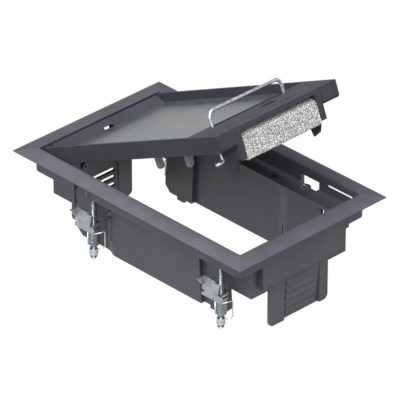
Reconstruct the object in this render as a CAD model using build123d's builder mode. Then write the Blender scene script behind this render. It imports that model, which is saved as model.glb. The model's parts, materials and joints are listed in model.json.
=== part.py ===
from build123d import *
from math import cos, radians, sin, tan
import os

# Floor box insert: trim flange and well, louvred side legs, four screw-driven floor claws, and a hinged
# tray lid with a wire bail and a foam-lined cord outlet. Millimetres, X along the long side towards the
# cord outlet, -Y towards the near side, Z up from the feet of the side legs.

os.makedirs("parts", exist_ok=True)

# Level of the finished floor above the feet of the side legs
floor_z = 68.5

# Trim flange and collar
flange_length = 226.0
flange_width = 141.25
flange_border = 13.0
flange_edge = 0.6
flange_rise = 2.7
flange_land = 1.0
collar_wall = 3.3
collar_drop = 14.0
collar_corner = 6.0
opening_corner = 1.2

# Windows through the collar: a pair on each long side, one under the hinge
window_x = 52.25
window_width = 17.5
window_height = 9.7
window_drop = 9.35
slot_end_inset = 20.0
slot_width = 26.0
slot_height = 3.8
slot_drop = 4.6
hinge_window_y = 8.9
hinge_window_width = 12.8
hinge_window_height = 6.3
hinge_window_drop = 8.65

# Well frame: ledge, corner skirts and short walls
ledge_drop = 10.0
ledge_thickness = 2.5
ledge_side_width = 14.625
ledge_end_width = 6.0
ledge_notch_depth = 3.0
outlet_bay_side_width = 15.625
outlet_bay_end_width = 2.2
skirt_wall = 2.4
skirt_end_inset = 0.7
skirt_side_inset = 8.625
skirt_shelf = 3.0
skirt_shelf_drop = 20.0
skirt_drop = 38.0
skirt_corner = 1.0
skirt_end_gap = 0.2
short_wall_side_inset = 18.625
short_wall_drop = 31.8
short_wall_skin = 2.4

# Long deep walls
wall_skin = 2.4
wall_end_inset = 23.5
wall_drop = 62.0
wall_lean = 3.0
wall_corner = 5.0
pocket_face_inset = 11.425
panel_step = 3.3
panel_left = -40.0
panel_right = 51.5
panel_blend = 7.0
panel_blend_radius = 12.0
brace_width = 1.5
brace_left = -46.3
brace_right = -40.0
brace_drop = 32.0
brace_climb = 4.7
brace_root = 1.8
brace_pitch = 5.5
tab_width = 7.0
tab_height = 2.6
tab_x = -63.5
tab_outlet_x = 60.5
keyhole_x = -40.0
keyhole_drop = 46.0
keyhole_width = 1.6
keyhole_length = 8.0
keyhole_radius = 1.6
fix_x = 26.6
fix_inset = 0.5
fix_boss_radius = 2.8
fix_boss_length = 7.5
fix_screw_radius = 1.4
fix_head_radius = 2.7
fix_head_height = 1.6
fix_screw_length = 9.5

# Side legs
leg_half_width = 28.3
leg_skin = 2.4
leg_corner = 4.0
leg_recess_y = 3.0
leg_recess_width = 34.0
leg_recess_top_drop = 33.5
leg_panel_lean = 2.0
leg_panel_skin = 2.0
leg_cheek = 1.5
leg_screw_y = 18.0
leg_screw_drop = 26.5
leg_screw_radius = 1.5
leg_screw_length = 6.0
leg_head_radius = 2.6
leg_head_height = 1.6
leg_boss_radius = 3.4
louvre_count = 5
louvre_pitch = 5.84
louvre_top_drop = 38.4
louvre_height = 3.7
louvre_y = 1.75
louvre_width = 26.5
hood_lap = 0.8
hood_reach = 1.6
hood_lip = 0.9
hood_sheet = 0.9

# Claw clamps; the far pair is the near pair turned half round
clamp_hinge_x = -51.2
clamp_end_inset = 24.0
clamp_side_inset = 5.625
screw_radius = 2.5
screw_head_radius = 4.0
screw_head_height = 2.6
screw_drive_width = 1.0
screw_drive_depth = 1.4
screw_tip_height = 0.5
boss_radius = 5.5
boss_depth = 4.5
running_clearance = 0.06
claw_left = -13.0
claw_right = 6.2
claw_foot_drop = 44.7
claw_fold_drop = 39.5
claw_top_drop = 30.0
claw_sheet = 1.5
claw_face = 5.8
claw_ear_height = 1.8
claw_lean = 1.6
claw_step_x = -1.8
claw_step_height = 1.4
claw_blade_right = 2.4
claw_tooth_reach = 6.4
claw_tooth_drop = 36.5
claw_notch_depth = 2.2
claw_notch_height = 1.6
ear_radius = 4.6
bush_neck_radius = 3.3
bush_body_radius = 3.7
bush_neck_height = 0.6
bush_sleeve_radius = 4.2
bush_sleeve_length = 11.4
stop_collar_radius = 3.1
stop_collar_height = 4.6
stop_collar_drop = 65.0
clip_wire = 0.5
clip_offset = 0.5
clip_drop = 9.0
clip_bend = 2.5

# Lid, in its own directions: u along the lid from the hinge axis, v out of its top
lid_open = 25.0
hinge_setback = 2.0
hinge_drop = 0.15
lid_top_v = 2.85
lid_height = 12.5
lid_start_u = 1.78
lid_end_gap = 4.7
lid_side_gap = 1.025
lid_draft = 3.0
lid_bevel = 2.2
lid_border = 2.2
lid_end_round = 2.5
tray_floor = 2.0
plate_thickness = 1.2
plate_top_v = -3.54
plate_gap = 0.2
recess_start_u = 4.96
recess_foot_u = 8.16
recess_end_back = 33.5
skirt_thickness = 1.0
rail_length = 8.0
rail_pocket_inset = 10.6
rail_pocket_width = 12.0
rail_pocket_u = 4.8
rail_pocket_height = 9.0
top_skin = 2.5
end_wall = 2.2
rib_count = 4
rib_thickness = 1.6
rib_pitch = 32.0
rib_foot = 1.0
knuckle_radius = 1.9
knuckle_inset = 2.6
knuckle_length = 3.6
knuckle_web_u = 6.0
pin_radius = 1.0
pin_bite = 2.4
notch_side_gap = 0.9
notch_end_u = 8.8
lid_slot_width = 8.6
lid_slot_height = 3.0
lid_slot_sink = 1.1
finger_back = 20.5
finger_y = 10.5
finger_length = 6.0
finger_width = 12.0
finger_depth = 1.5

# Cord outlet in the lid's free end
outlet_half_width = 40.4
outlet_gap = 0.35
outlet_bar_length = 9.5
outlet_arm_width = 4.9
outlet_arm_length = 5.0
outlet_bar_height = 3.5
outlet_foot_back = 1.2
outlet_foot_v = -19.8
gusset_thickness = 2.4
gusset_points = ((22.7, -8.8), (9.0, -5.0), (1.8, -5.0), (2.3, -12.8), (11.5, -28.8), (17.5, -31.6))
outlet_pivot_back = 7.1
outlet_pivot_v = -2.2
outlet_boss_radius = 2.3
outlet_back_plate = 1.5
foam_back_inset = 13.5
foam_front_inset = 0.9
foam_foot_v = -21.9
foam_brow_v = -5.2
foam_top_inset = 8.0
cheek_wall = 2.2

# Bail
bail_back = 29.5
bail_half_width = 34.0
bail_wire = 1.25
bail_crossbar_v = 13.5
bail_bend = 5.0
bail_foot_v = -22.3
bail_hook = 4.5
bail_hook_bend = 2.2
bail_groove_gap = 0.2

# Pegs under the lid
peg_us = (103.8, 135.8)
peg_y = 40.0
peg_radius = 2.8
peg_length = 15.9
peg_spigot_radius = 1.4

# Worked out from the values above
opening_length = flange_length - 2 * flange_border
opening_width = flange_width - 2 * flange_border
collar_length = opening_length + 2 * collar_wall
collar_width = opening_width + 2 * collar_wall
opening_end = opening_length / 2
opening_side = opening_width / 2
slot_x = opening_end - slot_end_inset
ledge_inner_x = opening_end - ledge_end_width
ledge_inner_y = opening_side - ledge_side_width
outlet_bay_x = opening_end - outlet_bay_end_width
outlet_bay_y = opening_side - outlet_bay_side_width
skirt_length = opening_length - 2 * skirt_end_inset
skirt_upper_width = opening_width - 2 * skirt_side_inset
skirt_lower_width = skirt_upper_width - 2 * skirt_shelf
short_wall_half = opening_side - short_wall_side_inset
wall_half_length = opening_end - wall_end_inset
pocket_face_y = opening_side - pocket_face_inset
panel_face_y = pocket_face_y + panel_step
fix_y = panel_face_y - fix_inset
clamp_outlet_x = opening_end - clamp_end_inset
clamp_y = opening_side - clamp_side_inset
ledge_top = floor_z - ledge_drop
ledge_foot = ledge_top - ledge_thickness
skirt_face_x = skirt_length / 2
wall_foot = floor_z - wall_drop
wall_depth = ledge_foot - wall_foot
wall_shift = wall_depth * tan(radians(wall_lean))
leg_top = floor_z - collar_drop
leg_inner_x = skirt_face_x - leg_skin
screw_head_top = ledge_top - 0.3
screw_head_seat = screw_head_top - screw_head_height
claw_foot = floor_z - claw_foot_drop
claw_fold = floor_z - claw_fold_drop
claw_top = floor_z - claw_top_drop
tooth_foot = floor_z - claw_tooth_drop
blade_steps = (
    (claw_left, claw_step_x, claw_top),
    (claw_step_x, claw_blade_right, claw_top - claw_step_height),
)
hinge_x = hinge_setback - opening_end
lid_end_u = opening_length - hinge_setback - lid_end_gap
lid_half_width = opening_side - lid_side_gap
recess_end_u = lid_end_u - recess_end_back
rail_end_u = recess_end_u + rail_length
rail_pocket_y = lid_half_width - rail_pocket_inset
knuckle_outer_y = lid_half_width - knuckle_inset
knuckle_inner_y = knuckle_outer_y - knuckle_length
notch_inner_y = knuckle_inner_y - notch_side_gap
finger_u = lid_end_u - finger_back
outlet_back_u = lid_end_u - outlet_bar_length
outlet_arm_u = lid_end_u - outlet_arm_length
outlet_foot_u = lid_end_u - outlet_foot_back
outlet_pivot = (lid_end_u - outlet_pivot_back, outlet_pivot_v)
gusset_outline = [(lid_end_u - back, height) for back, height in gusset_points]
foam_back_u = lid_end_u - foam_back_inset
foam_front_u = lid_end_u - foam_front_inset
foam_top_u = lid_end_u - foam_top_inset
bail_u = lid_end_u - bail_back
lid_foot_v = lid_top_v - lid_height
tray_floor_v = plate_top_v - plate_thickness
tray_foot_v = tray_floor_v - tray_floor
recess_half_width = lid_half_width - lid_border
pocket_half_width = recess_half_width - skirt_thickness
outlet_opening = outlet_half_width + outlet_gap
bar_foot_v = lid_top_v - outlet_bar_height
bail_groove = bail_wire + bail_groove_gap

turns = {"near": 0.0, "far": 180.0}
ends = {"outlet_end": "near", "hinge_end": "far"}
clamps = {
    "near_hinge": ("near", clamp_hinge_x),
    "near_outlet": ("near", clamp_outlet_x),
    "far_outlet": ("far", clamp_hinge_x),
    "far_hinge": ("far", clamp_outlet_x),
}
clamp_places = [(clamp_hinge_x, -clamp_y), (clamp_outlet_x, -clamp_y)]
fix_places = [(-fix_x, -fix_y), (fix_x, -fix_y)]
leg_screw_places = [
    (-leg_screw_y, floor_z - leg_screw_drop),
    (leg_screw_y, floor_z - leg_screw_drop),
]


def side_plan(side):
    # Plan directions of a long side: the near side as drawn, the far side turned half round
    return Plane.XY.rotated((0, 0, turns[side]))


def side_front(side, out_y):
    # Upright plane facing out of a long side, x along the side and y up
    plan = side_plan(side)
    return Plane(origin=(0, 0, 0), x_dir=plan.x_dir, z_dir=-plan.y_dir).offset(out_y)


def side_profile(side, along_x):
    # Upright plane across a long side, x outwards and y up; positive extrusion runs back along the side
    plan = side_plan(side)
    return Plane(origin=plan.x_dir * along_x, x_dir=-plan.y_dir, z_dir=-plan.x_dir)


def end_front(side, out_x):
    # Upright plane facing out of a short end, x across the box and y up
    plan = side_plan(side)
    return Plane(origin=(0, 0, 0), x_dir=plan.y_dir, z_dir=plan.x_dir).offset(out_x)


def end_section(side, across_y):
    # Upright lengthwise plane through a short end, x outwards and y up
    return side_front(side, -across_y)


lid_dir = Vector(cos(radians(lid_open)), 0, sin(radians(lid_open)))
lid_up = Vector(-sin(radians(lid_open)), 0, cos(radians(lid_open)))
hinge_point = Vector(hinge_x, 0, floor_z - hinge_drop)
lid_along = Axis(hinge_point, lid_dir)
lid_height_axis = Axis(hinge_point, lid_up)


def lid_plan(v):
    # Plane of the lid at height v, x along the lid and y across it
    return Plane(origin=hinge_point, x_dir=lid_dir, z_dir=lid_up).offset(v)


def lid_section(y):
    # Lengthwise section of the lid at y, x along the lid and y out of its top
    return Plane(origin=hinge_point, x_dir=lid_dir, z_dir=(0, -1, 0)).offset(-y)


def lid_cross(u):
    # Crosswise section of the lid at u, x across the lid and y out of its top
    return Plane(origin=hinge_point, x_dir=(0, 1, 0), z_dir=lid_dir).offset(u)


# Trim frame: bevelled flange with the collar below it
with BuildPart() as trim_frame:
    with BuildSketch(Plane.XY.offset(floor_z)):
        Rectangle(flange_length, flange_width)
    extrude(amount=flange_edge)
    with BuildSketch(Plane.XY.offset(floor_z + flange_edge)):
        Rectangle(flange_length, flange_width)
    with BuildSketch(Plane.XY.offset(floor_z + flange_rise)):
        Rectangle(opening_length + 2 * flange_land, opening_width + 2 * flange_land)
    loft()
    with BuildSketch(Plane.XY.offset(leg_top)):
        RectangleRounded(collar_length, collar_width, collar_corner)
    extrude(amount=collar_drop)
    with BuildSketch(Plane.XY.offset(leg_top)):
        RectangleRounded(opening_length, opening_width, opening_corner)
    extrude(amount=collar_drop + flange_rise, mode=Mode.SUBTRACT)
    for side in turns:
        with BuildSketch(side_front(side, opening_width / 2)):
            with Locations((-window_x, floor_z - window_drop)):
                Rectangle(window_width, window_height)
            with Locations((-slot_x, floor_z - slot_drop)):
                Rectangle(slot_width, slot_height)
        extrude(amount=collar_wall, mode=Mode.SUBTRACT)
    with BuildSketch(end_front("far", opening_length / 2)):
        with Locations((-hinge_window_y, floor_z - hinge_window_drop)):
            Rectangle(hinge_window_width, hinge_window_height)
    extrude(amount=collar_wall, mode=Mode.SUBTRACT)
    with BuildSketch(side_front("near", 0)):
        with Locations((hinge_x, floor_z - hinge_drop)):
            Circle(pin_radius)
    extrude(amount=opening_width / 2 + pin_bite, both=True, mode=Mode.SUBTRACT)
trim_frame.part.label = "trim_frame"
export_step(trim_frame.part, "parts/trim_frame.step")

# Well frame: ledge plate, corner skirts, short walls and the clamp screw bosses
with BuildPart() as well_frame:
    with BuildSketch(Plane.XY.offset(ledge_foot)):
        RectangleRounded(opening_length, opening_width, opening_corner)
        Rectangle(2 * ledge_inner_x, 2 * ledge_inner_y, mode=Mode.SUBTRACT)
        Rectangle(2 * outlet_bay_x, 2 * outlet_bay_y, mode=Mode.SUBTRACT)
    extrude(amount=ledge_thickness)
    shelf_foot = floor_z - skirt_shelf_drop
    skirt_rings = (
        (skirt_upper_width, skirt_upper_width, shelf_foot, ledge_foot),
        (skirt_upper_width, skirt_lower_width, shelf_foot, shelf_foot + skirt_wall),
        (skirt_lower_width, skirt_lower_width, floor_z - skirt_drop, shelf_foot),
    )
    for outer_width, inner_width, foot, top in skirt_rings:
        with BuildSketch(Plane.XY.offset(foot)):
            RectangleRounded(skirt_length, outer_width, skirt_corner)
            Rectangle(
                skirt_length - 2 * skirt_wall, inner_width - 2 * skirt_wall, mode=Mode.SUBTRACT
            )
            Rectangle(
                2 * (wall_half_length + skirt_end_gap), skirt_upper_width, mode=Mode.SUBTRACT
            )
            Rectangle(
                skirt_length, 2 * (leg_half_width + skirt_end_gap), mode=Mode.SUBTRACT
            )
        extrude(amount=top - foot)
    short_height = short_wall_drop - collar_drop
    short_reach = collar_length / 2 - skirt_face_x
    for side in turns:
        with BuildSketch(end_front(side, skirt_face_x)):
            with Locations((0, leg_top - short_height / 2)):
                Rectangle(2 * short_wall_half, short_height)
        extrude(amount=short_reach)
        with BuildSketch(end_front(side, skirt_face_x)):
            with Locations((0, leg_top - short_height / 2)):
                Rectangle(
                    2 * (leg_half_width - short_wall_skin), short_height - 2 * short_wall_skin
                )
        extrude(amount=short_reach - short_wall_skin, mode=Mode.SUBTRACT)
        with BuildSketch(end_front(side, skirt_face_x)):
            with Locations(*leg_screw_places):
                Circle(leg_boss_radius)
        extrude(amount=short_reach)
        with BuildSketch(end_front(side, skirt_face_x)):
            with Locations(*leg_screw_places):
                Circle(leg_screw_radius)
        extrude(amount=leg_screw_length - leg_skin, mode=Mode.SUBTRACT)
        plan = side_plan(side)
        with BuildSketch(plan.offset(ledge_foot)):
            with Locations((-window_x, ledge_notch_depth / 2 - opening_side)):
                Rectangle(window_width, ledge_notch_depth)
        extrude(amount=ledge_thickness, mode=Mode.SUBTRACT)
        with BuildSketch(plan.offset(ledge_foot - boss_depth)):
            with Locations(*clamp_places):
                Circle(boss_radius)
        extrude(amount=boss_depth + ledge_thickness)
        with BuildSketch(plan.offset(ledge_foot - boss_depth)):
            with Locations(*clamp_places):
                Circle(screw_radius + running_clearance)
        extrude(amount=boss_depth + ledge_thickness, mode=Mode.SUBTRACT)
        with BuildSketch(plan.offset(screw_head_seat)):
            with Locations(*clamp_places):
                Circle(screw_head_radius + running_clearance)
        extrude(amount=ledge_top - screw_head_seat, mode=Mode.SUBTRACT)
        with BuildSketch(plan.offset(ledge_foot)):
            with Locations(*fix_places):
                Circle(fix_screw_radius)
        extrude(amount=ledge_thickness, mode=Mode.SUBTRACT)
        with BuildSketch(plan.offset(ledge_top - fix_head_height)):
            with Locations(*fix_places):
                Circle(fix_head_radius)
        extrude(amount=fix_head_height, mode=Mode.SUBTRACT)
well_frame.part.label = "well_frame"
export_step(well_frame.part, "parts/well_frame.step")

# Long deep walls: a skin that steps out to a proud panel and leans inwards, with braced claw pockets
for side in turns:
    plan = side_plan(side)
    panel_start = panel_left - panel_blend / 2
    panel_full = panel_left + panel_blend / 2
    with BuildPart() as side_wall:
        with BuildSketch(plan.offset(ledge_foot)) as wall_outline:
            with BuildLine():
                Polyline(
                    (-wall_half_length, -pocket_face_y),
                    (panel_start, -pocket_face_y),
                    (panel_full, -panel_face_y),
                    (panel_right, -panel_face_y),
                    (panel_right, -pocket_face_y),
                    (wall_half_length, -pocket_face_y),
                    (wall_half_length, wall_skin - pocket_face_y),
                    (panel_right - wall_skin, wall_skin - pocket_face_y),
                    (panel_right - wall_skin, wall_skin - panel_face_y),
                    (panel_full + wall_skin / 2, wall_skin - panel_face_y),
                    (panel_start + wall_skin / 2, wall_skin - pocket_face_y),
                    (-wall_half_length, wall_skin - pocket_face_y),
                    close=True,
                )
            make_face()
            blend_corners = wall_outline.vertices().filter_by_position(
                Axis.X, panel_start - 1, panel_full + wall_skin
            )
            fillet(blend_corners, panel_blend_radius)
        lean_dir = plan.y_dir * wall_shift - plan.z_dir * wall_depth
        extrude(amount=lean_dir.length, dir=lean_dir)
        with BuildSketch(side_front(side, 0)):
            with Locations((-wall_half_length, wall_foot), (wall_half_length, wall_foot)):
                Rectangle(wall_corner * 2**0.5, wall_corner * 2**0.5, rotation=45)
        extrude(amount=opening_width / 2, mode=Mode.SUBTRACT)
        with BuildSketch(side_front(side, pocket_face_y - wall_shift - wall_skin)):
            with Locations(
                (tab_x, wall_foot - tab_height / 2), (tab_outlet_x, wall_foot - tab_height / 2)
            ):
                Rectangle(tab_width, tab_height)
        extrude(amount=wall_skin)
        with BuildSketch(side_front(side, 0)):
            with Locations((keyhole_x, floor_z - keyhole_drop)):
                Rectangle(keyhole_width, keyhole_length)
            with Locations((keyhole_x, floor_z - keyhole_drop - keyhole_length / 2)):
                Circle(keyhole_radius)
        extrude(amount=opening_width / 2, mode=Mode.SUBTRACT)
        for row in range(2):
            brace_foot = floor_z - brace_drop - row * brace_pitch
            with BuildSketch(side_front(side, pocket_face_y - brace_root)):
                with BuildLine():
                    Polyline(
                        (brace_left, brace_foot),
                        (brace_right, brace_foot + brace_climb),
                        (brace_right, brace_foot + brace_climb + brace_width),
                        (brace_left, brace_foot + brace_width),
                        close=True,
                    )
                make_face()
            extrude(amount=brace_root + panel_step - wall_shift / 2)
        with BuildSketch(plan.offset(ledge_foot - fix_boss_length)):
            with Locations(*fix_places):
                Circle(fix_boss_radius)
        extrude(amount=fix_boss_length)
        with BuildSketch(plan.offset(ledge_top - fix_screw_length)):
            with Locations(*fix_places):
                Circle(fix_screw_radius)
        extrude(amount=fix_screw_length, mode=Mode.SUBTRACT)
    side_wall.part.label = f"side_wall_{side}"
    export_step(side_wall.part, f"parts/side_wall_{side}.step")

# Side legs: a flat plate with a leaning louvred panel set into it
recess_foot_x = skirt_face_x - leg_panel_lean
recess_top = floor_z - leg_recess_top_drop
for name, side in ends.items():
    with BuildPart() as leg:
        with BuildSketch(end_front(side, leg_inner_x)) as leg_plate:
            with Locations((0, leg_top / 2)):
                Rectangle(2 * leg_half_width, leg_top)
            fillet(leg_plate.vertices().filter_by_position(Axis.Y, -1, 1), leg_corner)
            with Locations((leg_recess_y, recess_top / 2)):
                Rectangle(leg_recess_width, recess_top, mode=Mode.SUBTRACT)
            with Locations(*leg_screw_places):
                Circle(leg_screw_radius, mode=Mode.SUBTRACT)
        extrude(amount=leg_skin)
        with BuildSketch(end_section(side, leg_recess_y)):
            with BuildLine():
                Polyline(
                    (skirt_face_x, recess_top),
                    (recess_foot_x, 0),
                    (recess_foot_x - leg_panel_skin, 0),
                    (leg_inner_x, recess_top - leg_panel_skin),
                    (leg_inner_x, recess_top),
                    close=True,
                )
            make_face()
        extrude(amount=leg_recess_width / 2, both=True)
        for cheek_side in (-1, 1):
            cheek_y = leg_recess_y + cheek_side * (leg_recess_width + leg_cheek) / 2
            with BuildSketch(end_section(side, cheek_y)):
                with BuildLine():
                    Polyline(
                        (leg_inner_x, recess_top),
                        (leg_inner_x, 0),
                        (recess_foot_x - leg_panel_skin, 0),
                        (leg_inner_x - 1, recess_top - 2 * leg_panel_skin),
                        close=True,
                    )
                make_face()
            extrude(amount=leg_cheek / 2, both=True)
        for row in range(louvre_count):
            louvre_top = floor_z - louvre_top_drop - row * louvre_pitch
            louvre_foot = louvre_top - louvre_height
            lap_z = louvre_top + hood_lap
            lip_z = louvre_foot + hood_lip
            lap_x = skirt_face_x - leg_panel_lean * (recess_top - lap_z) / recess_top
            lip_x = skirt_face_x - leg_panel_lean * (recess_top - lip_z) / recess_top + hood_reach
            slot_x_inside = recess_foot_x - 2 * leg_panel_skin
            with BuildSketch(end_section(side, louvre_y)):
                with BuildLine():
                    Polyline(
                        (lap_x - hood_sheet, lap_z),
                        (lap_x, lap_z),
                        (lip_x, lip_z),
                        (lip_x - hood_reach - hood_sheet, lip_z),
                        close=True,
                    )
                make_face()
            extrude(amount=louvre_width / 2 + hood_sheet, both=True)
            with BuildSketch(end_section(side, louvre_y)):
                with BuildLine():
                    Polyline(
                        (slot_x_inside, louvre_top),
                        (lap_x - hood_sheet, louvre_top),
                        (lip_x - hood_sheet, lip_z),
                        (lip_x - hood_sheet, louvre_foot),
                        (slot_x_inside, louvre_foot),
                        close=True,
                    )
                make_face()
            extrude(amount=louvre_width / 2, both=True, mode=Mode.SUBTRACT)
    leg.part.label = f"leg_{name}"
    export_step(leg.part, f"parts/leg_{name}.step")

# Screws that hold the legs, put in from inside the well
leg_screw_names = {
    ("outlet_end", 0): "leg_screw_outlet_near",
    ("outlet_end", 1): "leg_screw_outlet_far",
    ("hinge_end", 0): "leg_screw_hinge_far",
    ("hinge_end", 1): "leg_screw_hinge_near",
}
for (end_name, place), name in leg_screw_names.items():
    with BuildPart() as leg_screw:
        with BuildSketch(end_front(ends[end_name], leg_inner_x - leg_head_height)):
            with Locations(leg_screw_places[place]):
                Circle(leg_head_radius)
        extrude(amount=leg_head_height)
        with BuildSketch(end_front(ends[end_name], leg_inner_x)):
            with Locations(leg_screw_places[place]):
                Circle(leg_screw_radius)
        extrude(amount=leg_screw_length)
        with BuildSketch(end_front(ends[end_name], leg_inner_x - leg_head_height)):
            with Locations(leg_screw_places[place]):
                Rectangle(leg_head_radius, 0.8)
                Rectangle(0.8, leg_head_radius)
        extrude(amount=leg_head_height / 2, mode=Mode.SUBTRACT)
    leg_screw.part.label = name
    export_step(leg_screw.part, f"parts/{name}.step")

# Screws that hold the long walls up to the ledge
wall_screw_names = {
    ("near", 0): "wall_screw_near_hinge",
    ("near", 1): "wall_screw_near_outlet",
    ("far", 0): "wall_screw_far_outlet",
    ("far", 1): "wall_screw_far_hinge",
}
for (side, place), name in wall_screw_names.items():
    with BuildPart() as wall_screw:
        with BuildSketch(side_plan(side).offset(ledge_top - fix_screw_length)):
            with Locations(fix_places[place]):
                Circle(fix_screw_radius)
        extrude(amount=fix_screw_length - fix_head_height)
        with BuildSketch(side_plan(side).offset(ledge_top - fix_head_height)):
            with Locations(fix_places[place]):
                Circle(fix_head_radius)
        extrude(amount=fix_head_height)
        with BuildSketch(side_plan(side).offset(ledge_top - fix_head_height / 2)):
            with Locations(fix_places[place]):
                Rectangle(fix_head_radius, 0.8)
                Rectangle(0.8, fix_head_radius)
        extrude(amount=fix_head_height / 2, mode=Mode.SUBTRACT)
    wall_screw.part.label = name
    export_step(wall_screw.part, f"parts/{name}.step")

# Hinge pins, pressed into the collar and running in the lid's knuckles
for side, direction in (("near", 1), ("far", -1)):
    with BuildPart() as hinge_pin:
        with BuildSketch(side_front(side, knuckle_inner_y)):
            with Locations((direction * hinge_x, floor_z - hinge_drop)):
                Circle(pin_radius)
        extrude(amount=opening_width / 2 + pin_bite - knuckle_inner_y)
    hinge_pin.part.label = f"hinge_pin_{side}"
    export_step(hinge_pin.part, f"parts/hinge_pin_{side}.step")

# Lid: drafted tray with a hinge-end wall, a rail for the bail and a hollow free-end border
with BuildPart() as lid_shell:
    draft_in = lid_height * tan(radians(lid_draft))
    with BuildSketch(lid_cross(lid_start_u)):
        with BuildLine():
            Polyline(
                (-lid_half_width, lid_top_v),
                (lid_half_width, lid_top_v),
                (lid_half_width - draft_in, lid_foot_v),
                (draft_in - lid_half_width, lid_foot_v),
                close=True,
            )
        make_face()
    extrude(amount=lid_end_u - lid_start_u)
    end_edges = lid_shell.faces().sort_by(lid_along)[-1].edges()
    fillet(end_edges.sort_by(lid_height_axis)[0], lid_end_round)
    hinge_edges = lid_shell.faces().sort_by(lid_along)[0].edges()
    chamfer(hinge_edges.sort_by(lid_height_axis)[-1], lid_bevel)
    with BuildSketch(lid_section(0)):
        with BuildLine():
            Polyline(
                (recess_start_u, lid_top_v),
                (recess_end_u, lid_top_v),
                (recess_end_u, tray_floor_v),
                (recess_foot_u + 0.6, tray_floor_v),
                (recess_foot_u, plate_top_v),
                close=True,
            )
        make_face()
    extrude(amount=notch_inner_y, both=True, mode=Mode.SUBTRACT)
    notch_y = (notch_inner_y + recess_half_width) / 2
    notch_width = recess_half_width - notch_inner_y
    with BuildSketch(lid_plan(tray_floor_v)):
        with Locations(
            ((notch_end_u + recess_end_u) / 2, -notch_y), ((notch_end_u + recess_end_u) / 2, notch_y)
        ):
            Rectangle(recess_end_u - notch_end_u, notch_width)
    extrude(amount=lid_top_v - tray_floor_v, mode=Mode.SUBTRACT)
    with BuildSketch(lid_plan(lid_foot_v)):
        with Locations(
            ((lid_start_u + notch_end_u) / 2, -notch_y), ((lid_start_u + notch_end_u) / 2, notch_y)
        ):
            Rectangle(notch_end_u - lid_start_u, notch_width)
    extrude(amount=lid_height, mode=Mode.SUBTRACT)
    pocket_bands = (
        (recess_foot_u + 1.5, recess_end_u, tray_foot_v),
        (rail_end_u, lid_end_u - end_wall, lid_top_v - top_skin),
    )
    for start, end, top in pocket_bands:
        with BuildSketch(lid_plan(lid_foot_v)):
            with Locations(((start + end) / 2, 0)):
                Rectangle(end - start, 2 * pocket_half_width)
        extrude(amount=top - lid_foot_v, mode=Mode.SUBTRACT)
    with BuildSketch(lid_plan(lid_foot_v)):
        rail_middle = (recess_end_u + rail_end_u) / 2
        with Locations((rail_middle, -rail_pocket_y), (rail_middle, rail_pocket_y)):
            Rectangle(rail_pocket_u, rail_pocket_width)
    extrude(amount=rail_pocket_height, mode=Mode.SUBTRACT)
    for row in range(1, rib_count + 1):
        with BuildSketch(lid_plan(lid_foot_v + rib_foot)):
            with Locations((row * rib_pitch + 4, 0)):
                Rectangle(rib_thickness, 2 * pocket_half_width)
        extrude(amount=tray_foot_v - lid_foot_v - rib_foot)
    with BuildSketch(lid_plan(lid_foot_v)):
        cheek_length = lid_end_u - end_wall - rail_end_u
        cheek_y = outlet_opening + cheek_wall / 2
        with Locations(
            (rail_end_u + cheek_length / 2, -cheek_y), (rail_end_u + cheek_length / 2, cheek_y)
        ):
            Rectangle(cheek_length, cheek_wall)
    extrude(amount=lid_height - top_skin)
    with BuildSketch(lid_plan(lid_foot_v)):
        cut_start = outlet_back_u - outlet_gap
        with Locations(((cut_start + lid_end_u + 1) / 2, 0)):
            Rectangle(lid_end_u + 1 - cut_start, 2 * outlet_opening)
    extrude(amount=lid_height, mode=Mode.SUBTRACT)
    with BuildSketch(lid_plan(lid_top_v - 2 * bail_groove)):
        with Locations((bail_u, 0)):
            Rectangle(2 * bail_groove, 2 * (bail_half_width + bail_groove))
    extrude(amount=2 * bail_groove, mode=Mode.SUBTRACT)
    bend_room = bail_bend + 2 * bail_groove
    with BuildSketch(lid_plan(lid_top_v - bend_room)):
        bend_pocket_y = bail_half_width + bail_groove - bend_room / 2
        with Locations((bail_u, -bend_pocket_y), (bail_u, bend_pocket_y)):
            Rectangle(2 * bail_groove, bend_room)
    extrude(amount=bend_room, mode=Mode.SUBTRACT)
    with BuildSketch(lid_plan(lid_foot_v)):
        with Locations((bail_u, -bail_half_width), (bail_u, bail_half_width)):
            Circle(bail_wire + running_clearance)
    extrude(amount=lid_height, mode=Mode.SUBTRACT)
    with BuildSketch(lid_plan(lid_top_v - finger_depth)):
        with Locations((finger_u, finger_y)):
            Rectangle(finger_length, finger_width)
    extrude(amount=finger_depth, mode=Mode.SUBTRACT)
    with BuildSketch(lid_cross(lid_start_u)):
        with Locations((0, plate_top_v - lid_slot_sink + lid_slot_height / 2)):
            Rectangle(lid_slot_width, lid_slot_height)
    extrude(amount=recess_foot_u, mode=Mode.SUBTRACT)
    with BuildSketch(lid_plan(tray_foot_v)):
        for peg_u in peg_us:
            with Locations((peg_u, -peg_y), (peg_u, peg_y)):
                Circle(peg_spigot_radius)
    extrude(amount=tray_floor, mode=Mode.SUBTRACT)
    with BuildSketch(lid_section(0)):
        with Locations(outlet_pivot):
            Circle(pin_radius)
    extrude(amount=outlet_opening + cheek_wall, both=True, mode=Mode.SUBTRACT)
    for knuckle_side in (-1, 1):
        knuckle_y = knuckle_side * (knuckle_inner_y + knuckle_outer_y) / 2
        with BuildSketch(lid_section(knuckle_y)):
            Circle(knuckle_radius)
            with BuildLine():
                Polyline(
                    (0, -knuckle_radius),
                    (notch_end_u + 1, tray_foot_v),
                    (notch_end_u + 1, tray_floor_v),
                    (notch_end_u, tray_floor_v),
                    (knuckle_web_u, tray_floor_v + 2),
                    (0, knuckle_radius),
                    close=True,
                )
            make_face()
            Circle(pin_radius + running_clearance, mode=Mode.SUBTRACT)
        extrude(amount=(knuckle_outer_y - knuckle_inner_y) / 2, both=True)
lid_shell.part.label = "lid_shell"
export_step(lid_shell.part, "parts/lid_shell.step")

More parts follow.
